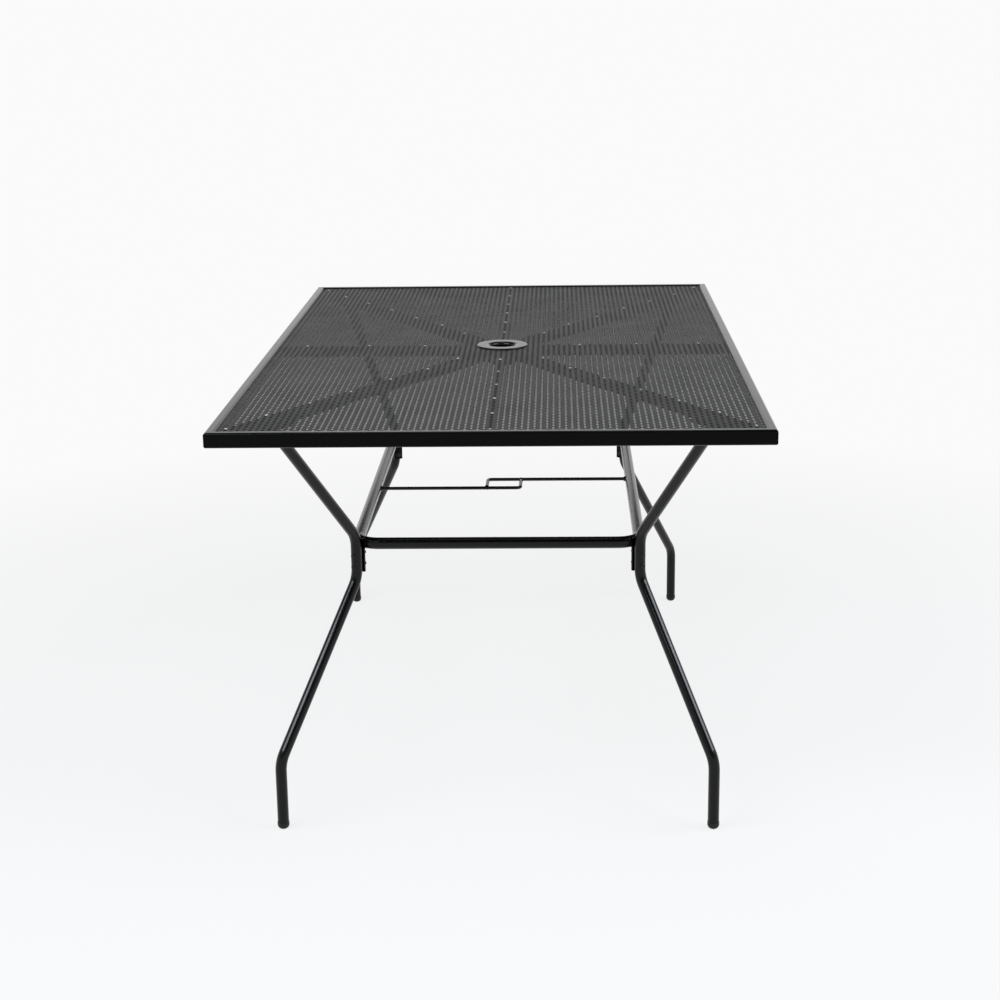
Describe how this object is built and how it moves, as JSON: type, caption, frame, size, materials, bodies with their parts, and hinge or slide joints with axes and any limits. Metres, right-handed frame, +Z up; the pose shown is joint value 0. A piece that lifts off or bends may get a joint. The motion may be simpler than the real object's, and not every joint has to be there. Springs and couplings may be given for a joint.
{
  "type": "garden table",
  "caption": "Rectangular metal garden table with a perforated top in a tube rim, an umbrella hole, bent tube legs drawn in at a waist, and a stretcher loop with a pole guide.",
  "frame": {"origin": "on the ground, under the middle of the umbrella hole", "axes": "+Y along the table's length, away from the short end that the picture shows nearest; +X across the table to the right in the picture; +Z up"},
  "size_m": [0.9, 1.5, 0.73],
  "materials": {
    "frame_coat": "satin black powder coat on steel tube",
    "mesh_coat": "satin black powder coat on perforated steel sheet",
    "foot_plastic": "moulded black plastic, lightly textured",
    "fastener_coat": "black coated steel fasteners"
  },
  "bodies": {
    "root": {"rim_front": "frame_coat", "rim_rear": "frame_coat", "rim_left": "frame_coat", "rim_right": "frame_coat", "brace_front": "frame_coat", "brace_rear": "frame_coat", "brace_left": "frame_coat", "brace_right": "frame_coat", "brace_front_left": "frame_coat", "brace_front_right": "frame_coat", "brace_rear_left": "frame_coat", "brace_rear_right": "frame_coat", "hub_plate": "frame_coat", "umbrella_sleeve": "frame_coat", "umbrella_ring": "frame_coat", "leg_front_left": "frame_coat", "leg_front_right": "frame_coat", "leg_rear_left": "frame_coat", "leg_rear_right": "frame_coat", "leg_top_plate_front_left": "frame_coat", "leg_top_plate_front_right": "frame_coat", "leg_top_plate_rear_left": "frame_coat", "leg_top_plate_rear_right": "frame_coat", "end_stretcher_front": "frame_coat", "end_stretcher_rear": "frame_coat", "side_tube_left": "frame_coat", "side_tube_right": "frame_coat", "corner_plate_front_left": "frame_coat", "corner_plate_front_right": "frame_coat", "corner_plate_rear_left": "frame_coat", "corner_plate_rear_right": "frame_coat", "pole_guide_left": "frame_coat", "pole_guide_right": "frame_coat", "mesh_panel": "mesh_coat", "foot_cap_front_left": "foot_plastic", "foot_cap_front_right": "foot_plastic", "foot_cap_rear_left": "foot_plastic", "foot_cap_rear_right": "foot_plastic", "waist_bolts": "fastener_coat", "waist_nuts": "fastener_coat", "top_bolts": "fastener_coat", "top_nuts": "fastener_coat"}
  },
  "joints": []
}
